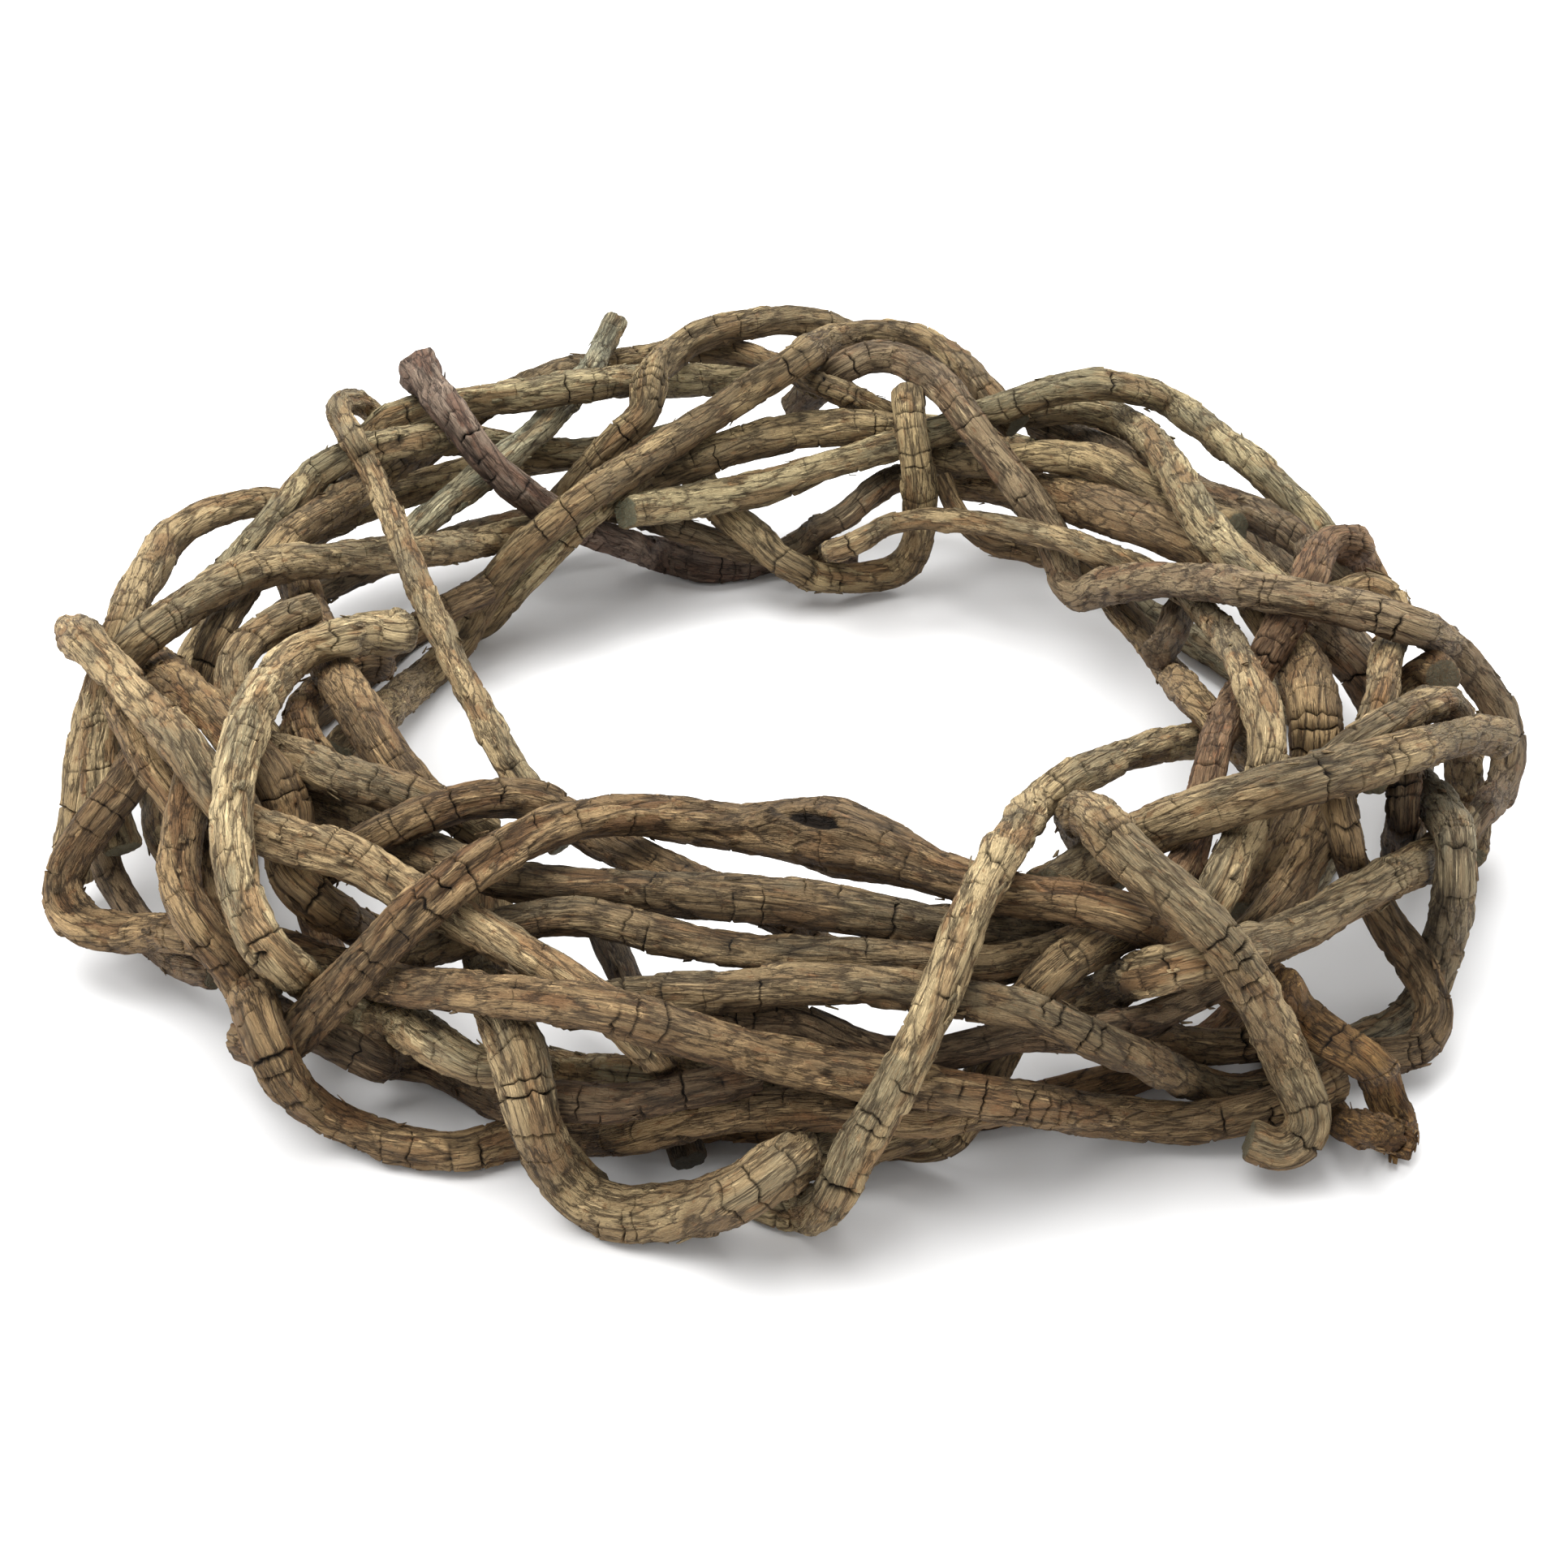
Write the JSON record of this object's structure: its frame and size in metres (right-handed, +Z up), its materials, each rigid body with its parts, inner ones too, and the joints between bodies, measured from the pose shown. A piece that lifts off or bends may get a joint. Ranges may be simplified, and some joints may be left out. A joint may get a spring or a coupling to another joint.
{
  "type": "rustic vine wreath",
  "caption": "Round rustic wreath wound from thick woody vines with cracked bark, lying flat, with a wide round opening through the middle.",
  "frame": {"origin": "middle of the footprint, on the surface that the wreath lies on", "axes": "+Z up out of the lying wreath, +Y away from the side that faces the viewer, +X to the viewer's right"},
  "size_m": [0.4842, 0.4954, 0.1047],
  "materials": {
    "khaki_bark": "rough dry bark, lit grey tan, with cracks",
    "tan_bark": "rough dry bark, warm tan",
    "brown_bark": "rough dry bark, mid brown, blocky cracks",
    "dark_bark": "rough dark bark",
    "purple_bark": "weathered purplish brown bark",
    "red_bark": "reddish bark, slightly smooth",
    "grey_bark": "grey fibrous bark",
    "gold_bark": "peeled golden grained strip"
  },
  "bodies": {
    "root": {"foot_front": "brown_bark", "foot_left": "dark_bark", "foot_right": "grey_bark", "left_hook": "khaki_bark", "front_bow": "brown_bark", "right_cross": "khaki_bark", "left_rise": "brown_bark", "outer_left_loop": "brown_bark", "front_u": "khaki_bark", "left_slant": "khaki_bark", "inner_arc": "brown_bark", "front_rail_top": "khaki_bark", "front_rail_low": "khaki_bark", "front_rail_mid": "khaki_bark", "front_under": "dark_bark", "front_riser": "khaki_bark", "front_low_left": "dark_bark", "bottom_cross": "dark_bark", "left_low_outer": "dark_bark", "left_inner_slant": "brown_bark", "left_outer_arch": "khaki_bark", "left_long": "khaki_bark", "left_band": "tan_bark", "left_inner_curl": "khaki_bark", "left_top_thick": "brown_bark", "left_inner_low": "brown_bark", "left_inner_thick": "brown_bark", "left_low_rail": "khaki_bark", "hanging_diag": "khaki_bark", "left_back_arch": "khaki_bark", "back_upper_rail": "khaki_bark", "back_outline": "brown_bark", "back_stick": "grey_bark", "dark_knob": "purple_bark", "great_sweep": "brown_bark", "sweep_partner": "khaki_bark", "back_knotted": "brown_bark", "back_right_arch": "khaki_bark", "stub_loop": "brown_bark", "thin_cross": "khaki_bark", "back_low_cross": "dark_bark", "back_mid_rail": "brown_bark", "right_long_vine": "purple_bark", "right_inner_low": "brown_bark", "right_back_thick": "brown_bark", "right_back_bend": "khaki_bark", "right_back_low": "dark_bark", "right_knob": "red_bark", "right_upper_light": "khaki_bark", "right_dark_diag": "dark_bark", "right_stub_a": "khaki_bark", "right_stub_b": "brown_bark", "right_long_diag": "khaki_bark", "right_front_diag": "khaki_bark", "right_rise": "khaki_bark", "right_low_loop": "brown_bark", "right_outer_post": "grey_bark", "torn_stub": "dark_bark", "peeled_strip": "gold_bark", "strip_stem": "gold_bark"}
  },
  "joints": []
}
